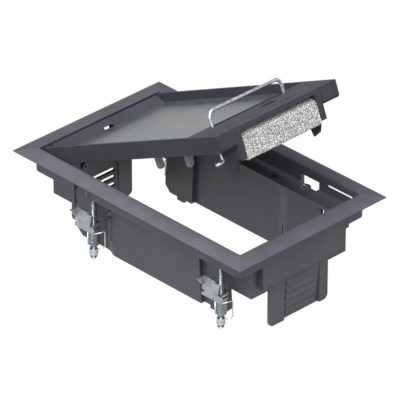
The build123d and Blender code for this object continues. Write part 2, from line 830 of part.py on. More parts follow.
# Sheet steel infill plate lying in the tray
with BuildPart() as lid_plate:
    with BuildSketch(lid_plan(tray_floor_v)):
        plate_start_u = notch_end_u + plate_gap
        plate_length = recess_end_u - plate_gap - plate_start_u
        with Locations((plate_start_u + plate_length / 2, 0)):
            Rectangle(plate_length, 2 * (recess_half_width - plate_gap))
    extrude(amount=plate_thickness)
lid_plate.part.label = "lid_plate"
export_step(lid_plate.part, "parts/lid_plate.step")

# Round-nosed pegs under the tray floor
peg_names = {
    "near_hinge": (peg_us[0], -peg_y),
    "near_outlet": (peg_us[1], -peg_y),
    "far_hinge": (peg_us[0], peg_y),
    "far_outlet": (peg_us[1], peg_y),
}
for name, peg_place in peg_names.items():
    with BuildPart() as lid_peg:
        with BuildSketch(lid_plan(tray_foot_v - peg_length)):
            with Locations(peg_place):
                Circle(peg_radius)
        extrude(amount=peg_length)
        fillet(lid_peg.edges().sort_by(lid_height_axis)[0], peg_radius - 0.2)
        with BuildSketch(lid_plan(tray_foot_v)):
            with Locations(peg_place):
                Circle(peg_spigot_radius)
        extrude(amount=tray_floor)
    lid_peg.part.label = f"lid_peg_{name}"
    export_step(lid_peg.part, f"parts/lid_peg_{name}.step")

# Wire bail: crossbar, two legs through the rail and feet bent outwards
with BuildPart() as bail:
    hook_out = bail_half_width + bail_hook_bend
    hook_top_v = bail_foot_v + bail_hook_bend
    hook_mid = bail_hook_bend * (1 - cos(radians(45)))
    leg_top_v = bail_crossbar_v - bail_bend
    bar_half = bail_half_width - bail_bend
    bend_mid = bail_bend * (1 - cos(radians(45)))
    with BuildLine(lid_cross(bail_u)) as bail_path:
        for across in (-1, 1):
            Line((across * (hook_out + bail_hook), bail_foot_v), (across * hook_out, bail_foot_v))
            ThreePointArc(
                (across * hook_out, bail_foot_v),
                (across * (bail_half_width + hook_mid), bail_foot_v + hook_mid),
                (across * bail_half_width, hook_top_v),
            )
            Line((across * bail_half_width, hook_top_v), (across * bail_half_width, leg_top_v))
            ThreePointArc(
                (across * bail_half_width, leg_top_v),
                (across * (bail_half_width - bend_mid), bail_crossbar_v - bend_mid),
                (across * bar_half, bail_crossbar_v),
            )
        Line((-bar_half, bail_crossbar_v), (bar_half, bail_crossbar_v))
    wire_start = lid_cross(bail_u).from_local_coords(Vector(-hook_out - bail_hook, bail_foot_v, 0))
    with BuildSketch(Plane(origin=wire_start, z_dir=(0, 1, 0))):
        Circle(bail_wire)
    sweep()
bail.part.label = "bail"
export_step(bail.part, "parts/bail.step")

# Outlet frame: a bar along the lid's edge, two arms with gussets and a back plate for the foam
with BuildPart() as outlet_frame:
    with BuildSketch(lid_section(0)):
        with Locations(((outlet_back_u + lid_end_u) / 2, (lid_top_v + bar_foot_v) / 2)):
            Rectangle(lid_end_u - outlet_back_u, outlet_bar_height)
    extrude(amount=outlet_half_width, both=True)
    for arm_side in (-1, 1):
        with BuildSketch(lid_section(arm_side * (outlet_half_width - outlet_arm_width / 2))):
            with BuildLine():
                Polyline(
                    (outlet_arm_u, bar_foot_v),
                    (lid_end_u, bar_foot_v),
                    (outlet_foot_u, outlet_foot_v),
                    (outlet_arm_u, outlet_foot_v),
                    close=True,
                )
            make_face()
        extrude(amount=outlet_arm_width / 2, both=True)
        with BuildSketch(lid_section(arm_side * (outlet_half_width - gusset_thickness / 2))):
            with BuildLine():
                Polyline(*gusset_outline, close=True)
            make_face()
            with Locations(outlet_pivot):
                Circle(outlet_boss_radius)
            with Locations((outlet_pivot[0], outlet_pivot[1] - outlet_boss_radius)):
                Rectangle(2 * outlet_boss_radius, 2 * outlet_boss_radius)
            with Locations(outlet_pivot):
                Circle(pin_radius + running_clearance, mode=Mode.SUBTRACT)
        extrude(amount=gusset_thickness / 2, both=True)
    with BuildSketch(lid_cross(foam_back_u - outlet_back_plate)):
        with Locations((0, (foam_brow_v + foam_foot_v) / 2)):
            Rectangle(2 * outlet_half_width - gusset_thickness, foam_brow_v - foam_foot_v)
    extrude(amount=outlet_back_plate)
outlet_frame.part.label = "outlet_frame"
export_step(outlet_frame.part, "parts/outlet_frame.step")

# Foam block that closes the cord outlet
with BuildPart() as outlet_foam:
    with BuildSketch(lid_section(0)):
        with BuildLine():
            Polyline(
                (foam_back_u, foam_foot_v),
                (foam_front_u, foam_foot_v),
                (foam_front_u, foam_brow_v),
                (foam_top_u, bar_foot_v),
                (outlet_back_u + 1, bar_foot_v),
                (foam_back_u, foam_brow_v),
                close=True,
            )
        make_face()
    extrude(amount=outlet_half_width - outlet_arm_width, both=True)
outlet_foam.part.label = "outlet_foam"
export_step(outlet_foam.part, "parts/outlet_foam.step")

# Pivot pins of the outlet frame, pressed into the lid's cheeks
pin_start = outlet_half_width - gusset_thickness
pin_end = outlet_opening + cheek_wall
for side, direction in (("near", -1), ("far", 1)):
    with BuildPart() as outlet_pin:
        with BuildSketch(lid_section(direction * (pin_start + pin_end) / 2)):
            with Locations(outlet_pivot):
                Circle(pin_radius)
        extrude(amount=(pin_end - pin_start) / 2, both=True)
    outlet_pin.part.label = f"outlet_pin_{side}"
    export_step(outlet_pin.part, f"parts/outlet_pin_{side}.step")

# Claw clamps: screw, stop collar, threaded bush, claw and spring clip
for name, (side, clamp_x) in clamps.items():
    plan = side_plan(side)
    axis_place = (clamp_x, -clamp_y)
    with BuildPart() as clamp_screw:
        with BuildSketch(plan.offset(screw_tip_height)):
            with Locations(axis_place):
                Circle(screw_radius)
        extrude(amount=screw_head_seat - screw_tip_height)
        chamfer(clamp_screw.edges().sort_by(Axis.Z)[0], screw_radius / 3)
        with BuildSketch(plan.offset(screw_head_seat)):
            with Locations(axis_place):
                Circle(screw_head_radius)
        extrude(amount=screw_head_height)
        with BuildSketch(plan.offset(screw_head_top - screw_drive_depth)):
            with Locations(axis_place):
                Rectangle(2 * screw_radius, screw_drive_width)
                Rectangle(screw_drive_width, 2 * screw_radius)
        extrude(amount=screw_drive_depth, mode=Mode.SUBTRACT)
    clamp_screw.part.label = f"clamp_screw_{name}"
    export_step(clamp_screw.part, f"parts/clamp_screw_{name}.step")
    with BuildPart() as clamp_collar:
        with BuildSketch(plan.offset(floor_z - stop_collar_drop)):
            with Locations(axis_place):
                Circle(stop_collar_radius)
                Circle(screw_radius, mode=Mode.SUBTRACT)
        extrude(amount=stop_collar_height)
    clamp_collar.part.label = f"clamp_collar_{name}"
    export_step(clamp_collar.part, f"parts/clamp_collar_{name}.step")
    body_start = claw_foot + claw_ear_height + running_clearance
    body_end = claw_fold - claw_ear_height - running_clearance
    sleeve_foot = claw_foot - bush_neck_height - bush_sleeve_length
    with BuildPart() as clamp_bush:
        with BuildSketch(plan.offset(claw_foot - bush_neck_height)):
            with Locations(axis_place):
                Circle(bush_neck_radius)
        extrude(amount=claw_fold - claw_foot + 2 * bush_neck_height)
        with BuildSketch(plan.offset(body_start)):
            with Locations(axis_place):
                Circle(bush_body_radius)
        extrude(amount=body_end - body_start)
        with BuildSketch(plan.offset(sleeve_foot)):
            with Locations(axis_place):
                Circle(bush_sleeve_radius)
        extrude(amount=bush_sleeve_length)
        with BuildSketch(plan.offset(sleeve_foot)):
            with Locations(axis_place):
                Circle(screw_radius + running_clearance)
        extrude(amount=claw_fold + bush_neck_height - sleeve_foot, mode=Mode.SUBTRACT)
    clamp_bush.part.label = f"clamp_bush_{name}"
    export_step(clamp_bush.part, f"parts/clamp_bush_{name}.step")
    blade_left = clamp_x + claw_left
    blade_inner = clamp_y + claw_face - claw_sheet
    with BuildPart() as clamp_claw:
        for ear_foot in (claw_foot, claw_fold - claw_ear_height):
            with BuildSketch(plan.offset(ear_foot)):
                with Locations(axis_place):
                    Circle(ear_radius)
                with Locations((clamp_x, -clamp_y - claw_face / 2)):
                    Rectangle(2 * ear_radius, claw_face)
                with Locations(axis_place):
                    Circle(bush_neck_radius + running_clearance, mode=Mode.SUBTRACT)
            extrude(amount=claw_ear_height)
        with BuildSketch(side_front(side, blade_inner)):
            with Locations((clamp_x + (claw_left + claw_right) / 2, (claw_foot + claw_fold) / 2)):
                Rectangle(claw_right - claw_left, claw_fold - claw_foot)
            with Locations((blade_left, claw_fold - claw_notch_height)):
                Rectangle(2 * claw_notch_depth, claw_notch_height, mode=Mode.SUBTRACT)
        extrude(amount=claw_sheet)
        for left, right, top in blade_steps:
            top_lean = claw_lean * (top - claw_fold) / (claw_top - claw_fold)
            with BuildSketch(side_profile(side, clamp_x + right)):
                with BuildLine():
                    Polyline(
                        (blade_inner, claw_fold),
                        (blade_inner + claw_sheet, claw_fold),
                        (blade_inner + claw_sheet - top_lean, top),
                        (blade_inner - top_lean, top),
                        close=True,
                    )
                make_face()
            extrude(amount=right - left)
        tooth_lean = claw_lean * (tooth_foot - claw_fold) / (claw_top - claw_fold)
        with BuildSketch(side_profile(side, blade_left + claw_sheet)):
            with BuildLine():
                Polyline(
                    (blade_inner - tooth_lean, tooth_foot),
                    (blade_inner + claw_sheet, tooth_foot),
                    (blade_inner + claw_tooth_reach, claw_top),
                    (blade_inner - claw_lean, claw_top),
                    close=True,
                )
            make_face()
        extrude(amount=claw_sheet)
    clamp_claw.part.label = f"clamp_claw_{name}"
    export_step(clamp_claw.part, f"parts/clamp_claw_{name}.step")
    clip_x = clamp_x - clip_offset
    clip_mid = clip_bend * (1 - cos(radians(45)))
    with BuildPart() as clamp_clip:
        with BuildLine(side_front(side, blade_inner + claw_sheet / 2)) as clip_path:
            Line((clip_x, claw_foot), (clip_x, claw_foot - clip_drop))
            ThreePointArc(
                (clip_x, claw_foot - clip_drop),
                (clip_x + clip_mid, claw_foot - clip_drop - clip_bend + clip_mid),
                (clip_x + clip_bend, claw_foot - clip_drop - clip_bend),
            )
        with BuildSketch(Plane(origin=clip_path.line @ 0, z_dir=clip_path.line % 0)):
            Circle(clip_wire)
        sweep()
    clamp_clip.part.label = f"clamp_clip_{name}"
    export_step(clamp_clip.part, f"parts/clamp_clip_{name}.step")
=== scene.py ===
import bmesh
import bpy
import json
import numpy as np
from math import cos, pi, radians, sin
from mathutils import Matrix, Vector

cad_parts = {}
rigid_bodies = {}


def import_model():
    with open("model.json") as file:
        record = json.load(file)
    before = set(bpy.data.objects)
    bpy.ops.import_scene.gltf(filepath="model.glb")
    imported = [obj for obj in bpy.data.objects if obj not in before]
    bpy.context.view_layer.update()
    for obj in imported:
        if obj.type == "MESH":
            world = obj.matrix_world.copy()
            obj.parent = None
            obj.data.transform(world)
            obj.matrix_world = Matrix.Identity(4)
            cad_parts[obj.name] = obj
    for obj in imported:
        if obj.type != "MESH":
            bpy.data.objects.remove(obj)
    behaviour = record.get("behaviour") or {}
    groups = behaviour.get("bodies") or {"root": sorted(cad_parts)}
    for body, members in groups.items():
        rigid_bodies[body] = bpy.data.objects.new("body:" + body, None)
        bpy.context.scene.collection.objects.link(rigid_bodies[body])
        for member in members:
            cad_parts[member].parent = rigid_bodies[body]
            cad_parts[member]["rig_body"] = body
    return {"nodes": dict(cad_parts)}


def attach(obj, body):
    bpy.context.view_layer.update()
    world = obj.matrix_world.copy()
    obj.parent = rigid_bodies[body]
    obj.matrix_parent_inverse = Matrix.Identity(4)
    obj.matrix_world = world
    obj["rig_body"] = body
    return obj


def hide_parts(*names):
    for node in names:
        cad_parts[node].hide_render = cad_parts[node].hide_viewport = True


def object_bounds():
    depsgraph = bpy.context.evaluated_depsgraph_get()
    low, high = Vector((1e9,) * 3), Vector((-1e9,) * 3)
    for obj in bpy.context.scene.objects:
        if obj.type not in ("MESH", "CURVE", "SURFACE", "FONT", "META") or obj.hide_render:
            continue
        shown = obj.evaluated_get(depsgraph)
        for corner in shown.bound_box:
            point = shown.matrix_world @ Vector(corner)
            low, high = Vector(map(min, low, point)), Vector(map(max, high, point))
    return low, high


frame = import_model()
cadLow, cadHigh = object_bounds()

# The scene is in metres; the pieces' settings are in millimetres and degrees, on the axes of the CAD frame
mm = 0.001
floorZ = 68.5  # finished floor above the feet of the legs
lid = {"hingeX": -98.0, "hingeZ": 68.35, "open": 25.0}
lidOpen = radians(lid["open"])
lidDir = np.array([cos(lidOpen), 0.0, sin(lidOpen)])
lidUp = np.array([-sin(lidOpen), 0.0, cos(lidOpen)])
acrossDir = np.array([0.0, 1.0, 0.0])
hingePoint = np.array([lid["hingeX"], 0.0, lid["hingeZ"]])


def lidPoints(u, y, v):
    # Points of the lid: hinge point plus u along it, y across it and v out of its top
    u, y, v = (np.asarray(a, float)[..., None] for a in (u, y, v))
    return hingePoint + u * lidDir + y * acrossDir + v * lidUp


def newFinish(name, roughness, metallic=0.0):
    # A material with its shader; what is the same all over goes on the shader's own sockets
    material = bpy.data.materials.new(name)
    material.use_nodes = True
    shader = material.node_tree.nodes["Principled BSDF"]
    shader.inputs["Metallic"].default_value = metallic
    shader.inputs["Roughness"].default_value = roughness
    return material, shader


def addNoise(material, scale, detail, roughness=0.55, turn=0.0, stretch=None):
    # Noise on object coordinates; for drawn surfaces they are squeezed along the axes, then turned about Y
    nodes, links = material.node_tree.nodes, material.node_tree.links
    place = nodes.new("ShaderNodeTexCoord").outputs["Object"]
    if stretch:
        mapping = nodes.new("ShaderNodeMapping")
        mapping.inputs["Rotation"].default_value = (0, radians(turn), 0)
        mapping.inputs["Scale"].default_value = stretch
        links.new(place, mapping.inputs["Vector"])
        place = mapping.outputs["Vector"]
    noise = nodes.new("ShaderNodeTexNoise")
    noise.inputs["Scale"].default_value = scale
    noise.inputs["Detail"].default_value = detail
    noise.inputs["Roughness"].default_value = roughness
    links.new(place, noise.inputs["Vector"])
    return noise.outputs["Fac"]


def addCells(material, scale):
    # Random value of each Voronoi cell, for the crystals of a zinc coat
    nodes, links = material.node_tree.nodes, material.node_tree.links
    place = nodes.new("ShaderNodeTexCoord")
    cells = nodes.new("ShaderNodeTexVoronoi")
    cells.inputs["Scale"].default_value = scale
    split = nodes.new("ShaderNodeSeparateColor")
    links.new(place.outputs["Object"], cells.inputs["Vector"])
    links.new(cells.outputs["Color"], split.inputs["Color"])
    return split.outputs["Red"]


def addRamp(material, value, stops):
    # Colour ramp over a value; stops are (place, colour)
    ramp = material.node_tree.nodes.new("ShaderNodeValToRGB")
    ramp.color_ramp.elements[0].position = stops[0][0]
    ramp.color_ramp.elements[0].color = (*stops[0][1], 1)
    ramp.color_ramp.elements[1].position = stops[-1][0]
    ramp.color_ramp.elements[1].color = (*stops[-1][1], 1)
    for place, colour in stops[1:-1]:
        ramp.color_ramp.elements.new(place).color = (*colour, 1)
    material.node_tree.links.new(value, ramp.inputs["Fac"])
    return ramp.outputs["Color"]


def addRange(material, value, low, high):
    # Spreads a 0.3..0.7 noise value over low..high
    spread = material.node_tree.nodes.new("ShaderNodeMapRange")
    spread.inputs["From Min"].default_value = 0.3
    spread.inputs["From Max"].default_value = 0.7
    spread.inputs["To Min"].default_value = low
    spread.inputs["To Max"].default_value = high
    material.node_tree.links.new(value, spread.inputs["Value"])
    return spread.outputs["Result"]


def addBump(material, shader, value, depth, strength):
    # Relief from a value, depth in millimetres
    bump = material.node_tree.nodes.new("ShaderNodeBump")
    bump.inputs["Distance"].default_value = depth * mm
    bump.inputs["Strength"].default_value = strength
    material.node_tree.links.new(value, bump.inputs["Height"])
    material.node_tree.links.new(bump.outputs["Normal"], shader.inputs["Normal"])


charcoalGrain = {"grain": 1500.0, "depth": 0.03}
plastics = {
    "framePlastic": {
        "dark": (0.028, 0.0268, 0.034), "light": (0.035, 0.0335, 0.042), "roughness": 0.41, "shine": 0.43,
        **charcoalGrain,
    },
    # The lid's plastic is the frame's charcoal made darker: painted shade that holds the lid's top down under
    # the overhead lamp
    "lidPlasticShaded": {
        "dark": (0.023, 0.0225, 0.027), "light": (0.029, 0.0285, 0.034), "roughness": 0.55, "shine": 0.02,
        **charcoalGrain,
    },
    "pegPlastic": {
        "dark": (0.075, 0.075, 0.08), "light": (0.1, 0.1, 0.105), "roughness": 0.3, "shine": 0.5,
        **charcoalGrain,
    },
    "collarPlastic": {
        "dark": (0.20, 0.22, 0.24), "light": (0.28, 0.30, 0.32), "roughness": 0.38, "shine": 0.5,
        "grain": 900.0, "depth": 0.02,
    },
}
plasticTexture = {
    "clouds": 26.0, "cloudDetail": 4.0, "cloudLow": 0.3, "cloudHigh": 0.7,
    "gloss": 90.0, "glossDetail": 3.0, "glossBelow": 0.05, "glossAbove": 0.06,
    "grainDetail": 2.0, "bump": 0.6,
}


def mouldedPlastic(name, look):
    # Moulding: faint flow clouds, a fine spark-eroded grain and uneven gloss
    material, shader = newFinish(name, look["roughness"])
    shader.inputs["Specular IOR Level"].default_value = look["shine"]
    texture, links = plasticTexture, material.node_tree.links
    clouds = addNoise(material, texture["clouds"], texture["cloudDetail"])
    stops = [(texture["cloudLow"], look["dark"]), (texture["cloudHigh"], look["light"])]
    links.new(addRamp(material, clouds, stops), shader.inputs["Base Color"])
    gloss = addNoise(material, texture["gloss"], texture["glossDetail"])
    low, high = look["roughness"] - texture["glossBelow"], look["roughness"] + texture["glossAbove"]
    links.new(addRange(material, gloss, low, high), shader.inputs["Roughness"])
    grain = addNoise(material, look["grain"], texture["grainDetail"])
    addBump(material, shader, grain, look["depth"], texture["bump"])
    return material


# Drawn lines follow the axis with the small number in stretch; spread is how far the gloss varies
fineLines = {
    "spread": 0.08, "spangle": 600.0, "lines": 2000.0, "depth": 0.008,
    "turn": 0.0, "stretch": (1.0, 1.0, 0.1),
}
metals = {
    "lidSheet": {
        "dark": (0.12, 0.132, 0.138), "light": (0.152, 0.166, 0.172), "roughness": 0.32, "spread": 0.03,
        "spangle": 170.0, "lines": 500.0, "depth": 0.003, "turn": lid["open"], "stretch": (0.06, 1.0, 1.0),
    },
    "clawZinc": {
        "dark": (0.25, 0.27, 0.285), "light": (0.38, 0.40, 0.42), "roughness": 0.4, "spread": 0.08,
        "spangle": 420.0, "lines": 1400.0, "depth": 0.02, "turn": 0.0, "stretch": (0.15, 1.0, 1.0),
    },
    "brightSteel": {"dark": (0.42, 0.45, 0.47), "light": (0.56, 0.59, 0.61), "roughness": 0.36, **fineLines},
    "darkSteel": {"dark": (0.05, 0.05, 0.055), "light": (0.09, 0.09, 0.095), "roughness": 0.3, **fineLines},
    "screwSteel": {"dark": (0.16, 0.18, 0.19), "light": (0.27, 0.29, 0.31), "roughness": 0.26, **fineLines},
    "sleeveSteel": {"dark": (0.15, 0.17, 0.18), "light": (0.25, 0.28, 0.29), "roughness": 0.34, **fineLines},
    "brightWire": {
        "dark": (0.36, 0.39, 0.41), "light": (0.46, 0.49, 0.51), "roughness": 0.36, "spread": 0.08,
        "spangle": 300.0, "lines": 400.0, "depth": 0.001, "turn": 0.0, "stretch": (1.0, 0.06, 1.0),
    },
}
zincTexture = {
    "metallic": 0.85, "clouds": 0.4, "cloudDetail": 4.0, "cloudShare": 0.62,
    "rampLow": 0.25, "rampHigh": 0.75, "lineDetail": 2.0, "bump": 0.5,
}


def zincSteel(name, look):
    # Zinc coated steel: crystals of slightly different grey under soft clouds, with drawn lines in the bump
    texture = zincTexture
    material, shader = newFinish(name, look["roughness"], texture["metallic"])
    links = material.node_tree.links
    mix = material.node_tree.nodes.new("ShaderNodeMix")
    mix.inputs["Factor"].default_value = texture["cloudShare"]
    clouds = addNoise(material, look["spangle"] * texture["clouds"], texture["cloudDetail"])
    links.new(addCells(material, look["spangle"]), mix.inputs["A"])
    links.new(clouds, mix.inputs["B"])
    value = mix.outputs["Result"]
    stops = [(texture["rampLow"], look["dark"]), (texture["rampHigh"], look["light"])]
    links.new(addRamp(material, value, stops), shader.inputs["Base Color"])
    low, high = look["roughness"] - look["spread"], look["roughness"] + look["spread"]
    links.new(addRange(material, value, low, high), shader.inputs["Roughness"])
    lines = addNoise(
        material, look["lines"], texture["lineDetail"], turn=look["turn"], stretch=look["stretch"]
    )
    addBump(material, shader, lines, look["depth"], texture["bump"])
    return material


foamSkin = {
    "roughness": 0.95, "sheen": 0.15, "pores": 1150.0, "poreDetail": 2.0, "poreEdge": 0.7,
    "depth": 0.35, "bump": 0.8,
    # The ramp's dark stops are painted shade inside the pores; its pale stops are the foam's own colour
    "stops": [
        (0.36, (0.03, 0.03, 0.03)), (0.47, (0.13, 0.13, 0.129)), (0.56, (0.27, 0.27, 0.267)),
        (0.66, (0.47, 0.47, 0.466)),
    ],
}


def poreShadedFoam(name, look):
    # Open-cell foam: pale skin broken by pores about half a millimetre across, which are painted dark as
    # painted shade in the hollows that the bump sinks
    material, shader = newFinish(name, look["roughness"])
    shader.inputs["Sheen Weight"].default_value = look["sheen"]
    pores = addNoise(material, look["pores"], look["poreDetail"], look["poreEdge"])
    material.node_tree.links.new(addRamp(material, pores, look["stops"]), shader.inputs["Base Color"])
    addBump(material, shader, pores, look["depth"], look["bump"])
    return material


print("finishes")
finishes = {name: mouldedPlastic(name, look) for name, look in plastics.items()}
finishes.update({name: zincSteel(name, look) for name, look in metals.items()})
finishes["outletFoam"] = poreShadedFoam("outletFoam", foamSkin)


def finishPiece(name, mesh, finish, body, nodes):
    # Puts a mesh in the scene on its body, in place of the CAD nodes that it stands for
    piece = bpy.data.objects.new(name, mesh)
    bpy.context.scene.collection.objects.link(piece)
    mesh.polygons.foreach_set("use_smooth", np.ones(len(mesh.polygons), bool))
    mesh.materials.clear()
    mesh.materials.append(finishes[finish])
    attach(piece, body)
    if nodes:
        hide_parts(*nodes)
    return piece


surface = {"merge": 0.0001}  # points closer than this become one, as at the poles


def surfaceMesh(name, points):
    # Grid of points, rows by columns, into quads; the columns close round and the end rows meet at poles
    rows, columns = points.shape[:2]
    near = np.arange(rows * columns).reshape(rows, columns)
    around = np.roll(near, -1, axis=1)
    quads = np.stack([near[:-1], around[:-1], around[1:], near[1:]], axis=-1).reshape(-1, 4)
    mesh = bpy.data.meshes.new(name)
    mesh.from_pydata((points.reshape(-1, 3) * mm).tolist(), [], quads.tolist())
    work = bmesh.new()
    work.from_mesh(mesh)
    bmesh.ops.remove_doubles(work, verts=work.verts, dist=surface["merge"] * mm)
    bmesh.ops.recalc_face_normals(work, faces=work.faces)
    work.to_mesh(mesh)
    work.free()
    return mesh


def markCreases(mesh, angle):
    # Keeps edges crisp where two faces meet at more than the angle
    work = bmesh.new()
    work.from_mesh(mesh)
    for edge in work.edges:
        edge.smooth = not (edge.is_manifold and edge.calc_face_angle(0.0) > radians(angle))
    work.to_mesh(mesh)
    work.free()


# Rounded edges: faces that meet at less than flat are joined, edges over the bend angle are rounded
softEdge = {"merge": 0.002, "flat": 0.4, "bend": 35.0, "segments": 2, "evenWeight": 100}


def softEdgedCopy(name, node, edge, finish, slot, crease):
    # A merged copy of a CAD node with rounded edges, in the same place
    source = frame["nodes"][node]
    mesh = source.data.copy()
    mesh.name = name
    work = bmesh.new()
    work.from_mesh(mesh)
    bmesh.ops.remove_doubles(work, verts=work.verts, dist=softEdge["merge"] * mm)
    bmesh.ops.dissolve_limit(
        work, angle_limit=radians(softEdge["flat"]), verts=work.verts, edges=work.edges, delimit={"NORMAL"}
    )
    work.to_mesh(mesh)
    work.free()
    piece = finishPiece(name, mesh, finish, source["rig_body"], [node])
    bevel = piece.modifiers.new("edges", "BEVEL")
    bevel.width = edge * mm
    bevel.segments = softEdge["segments"]
    bevel.limit_method = "ANGLE"
    bevel.angle_limit = radians(softEdge["bend"])
    bevel.use_clamp_overlap = True
    markCreases(mesh, crease)
    even = piece.modifiers.new("evenShading", "WEIGHTED_NORMAL")
    even.keep_sharp = True
    even.weight = softEdge["evenWeight"]


# Mouldings and sheet metal keep their CAD shape: node, width of the rounded edge, finish, slot, crease angle
print("mouldings")
mouldings = {
    "trimFrame": ("trim_frame", 0.25, "framePlastic", "frame_plastic", 8),
    "wellFrame": ("well_frame", 0.4, "framePlastic", "frame_plastic", 30),
    "sideWallNear": ("side_wall_near", 0.25, "framePlastic", "frame_plastic", 30),
    "sideWallFar": ("side_wall_far", 0.25, "framePlastic", "frame_plastic", 30),
    "legOutletEnd": ("leg_outlet_end", 0.2, "framePlastic", "frame_plastic", 15),
    "legHingeEnd": ("leg_hinge_end", 0.2, "framePlastic", "frame_plastic", 15),
    "lidShell": ("lid_shell", 0.3, "lidPlasticShaded", "lid_plastic", 30),
    "outletFrame": ("outlet_frame", 0.25, "lidPlasticShaded", "lid_plastic", 30),
    "lidPlate": ("lid_plate", 0.12, "lidSheet", "lid_sheet", 35),
}
claw = {"edge": 0.16, "crease": 35}
# Where the clamps stand; the last value is -1 for the far pair, which is the near one turned half round
clampPlaces = {
    "near_hinge": (-51.2, -52.0, 1),
    "near_outlet": (76.0, -52.0, 1),
    "far_outlet": (51.2, 52.0, -1),
    "far_hinge": (-76.0, 52.0, -1),
}
for pieceName, moulding in mouldings.items():
    softEdgedCopy(pieceName, *moulding)
for place in clampPlaces:
    softEdgedCopy(
        f"claw_{place}", f"clamp_claw_{place}", claw["edge"], "clawZinc", "zinc_steel", claw["crease"]
    )

# Small CAD fasteners and the pegs stay as they are and get their finish
for node, piece in frame["nodes"].items():
    if not piece.hide_render:
        piece.data.materials.clear()
        piece.data.materials.append(finishes["pegPlastic" if "peg" in node else "darkSteel"])

# Profiles are (radius, height) over the tip and over the head's seat; the crest stays a gap inside the radius
print("clamp screws")
screw = {
    "radius": 2.5, "gap": 0.02, "core": 2.12, "pitch": 0.8, "perTurn": 7, "around": 40,
    "flank": 1.25, "root": 0.1,
    "tip": 0.5, "threadFrom": 1.2, "tipProfile": [(0.0, 0.0), (1.5, 0.0), (2.05, 0.6)],
    "headTop": 58.2, "headHeight": 2.6,
    "headProfile": [(2.2, 0.0), (3.75, 0.0), (4.0, 0.25), (4.0, 2.2), (3.72, 2.55)],
    "topRadius": 3.5, "topRows": 15, "crown": 0.012,
    "driveWidth": 1.0, "driveReach": 2.4, "driveDepth": 1.3, "driveEase": 0.12, "crease": 40,
}


def threadedScrew(place):
    # Radius of a row is the core plus a triangle wave of the height minus the turn, a helix of the stated
    # pitch; the head's top dips where either arm of the cross is under the point
    x, y, _ = clampPlaces[place]
    angle = np.linspace(0, 2 * pi, screw["around"], endpoint=False)
    flat = np.ones(screw["around"])
    seat = screw["headTop"] - screw["headHeight"]
    height = np.arange(screw["tip"] + screw["threadFrom"], seat, screw["pitch"] / screw["perTurn"])
    phase = (height[:, None] / screw["pitch"] - angle[None, :] / (2 * pi)) % 1.0
    wave = np.clip(screw["flank"] * (1 - np.abs(2 * phase - 1)) - screw["root"], 0, 1)
    shank = screw["core"] + (screw["radius"] - screw["gap"] - screw["core"]) * wave
    topRadius = np.linspace(screw["topRadius"], 0.0, screw["topRows"])[:, None]
    armX, armY = np.abs(topRadius * np.cos(angle)), np.abs(topRadius * np.sin(angle))
    inArm = np.minimum(armX, armY) < screw["driveWidth"] / 2 + screw["driveEase"]
    dip = np.where(inArm & (topRadius < screw["driveReach"]), screw["driveDepth"], 0.0)
    topZ = screw["headTop"] - screw["crown"] * topRadius**2 - dip
    tip, head = np.array(screw["tipProfile"]), np.array(screw["headProfile"])
    radius = np.vstack([tip[:, :1] * flat, shank, head[:, :1] * flat, topRadius * flat])
    tipZ, headZ = screw["tip"] + tip[:, 1:], seat + head[:, 1:]
    level = np.vstack([tipZ * flat, height[:, None] * flat, headZ * flat, topZ])
    points = np.stack([x + radius * np.cos(angle), y + radius * np.sin(angle), level], axis=-1)
    mesh = surfaceMesh(f"screw_{place}", points)
    markCreases(mesh, screw["crease"])
    finishPiece(
        f"screw_{place}", mesh, "screwSteel", f"screw_{place}", [f"clamp_screw_{place}"]
    )


turned = {"around": 48, "crease": 28}


def turnedPiece(name, profile, place, finish, body, node, sides=None):
    # Profile of (radius, height) carried round the clamp's axis; sides cuts flats into the wide part
    x, y, _ = clampPlaces[place]
    angle = np.linspace(0, 2 * pi, turned["around"], endpoint=False)
    radius, level = (np.repeat(column[:, None], turned["around"], 1) for column in np.array(profile).T)
    if sides:
        step = 2 * pi / sides["count"]
        flatRadius = sides["flat"] / np.cos((angle + step / 2) % step - step / 2)
        wide = (radius > sides["from"]) & (level > sides["above"])
        radius = np.where(wide, np.minimum(radius, flatRadius), radius)
    points = np.stack([x + radius * np.cos(angle), y + radius * np.sin(angle), level], axis=-1)
    mesh = surfaceMesh(name, np.concatenate([points, points[:1]]))
    markCreases(mesh, turned["crease"])
    finishPiece(name, mesh, finish, body, [node])


bush = {
    "bore": 2.56, "neck": 3.3, "body": 3.7, "foot": 23.2, "bodyFoot": 25.66, "bodyTop": 27.14, "top": 29.6,
    "edge": 0.2, "topEdge": 0.15, "sides": 6, "flat": 3.34, "flatFrom": 3.31,
    "sleeve": 4.2, "sleeveFoot": 11.8, "rings": 5, "ringDepth": 0.35,
    "ringShares": (-0.98, -0.7, 0.0, 0.7, 0.98),
}
collar = {
    "bore": 2.52, "radius": 3.1, "foot": 3.5,
    "profile": [  # (how far inside the radius, height over the foot)
        (0.35, 0.0), (0.0, 0.35), (0.0, 1.5), (0.3, 1.75), (0.3, 2.5), (0.0, 2.75), (0.0, 4.25), (0.35, 4.6),
    ],
}


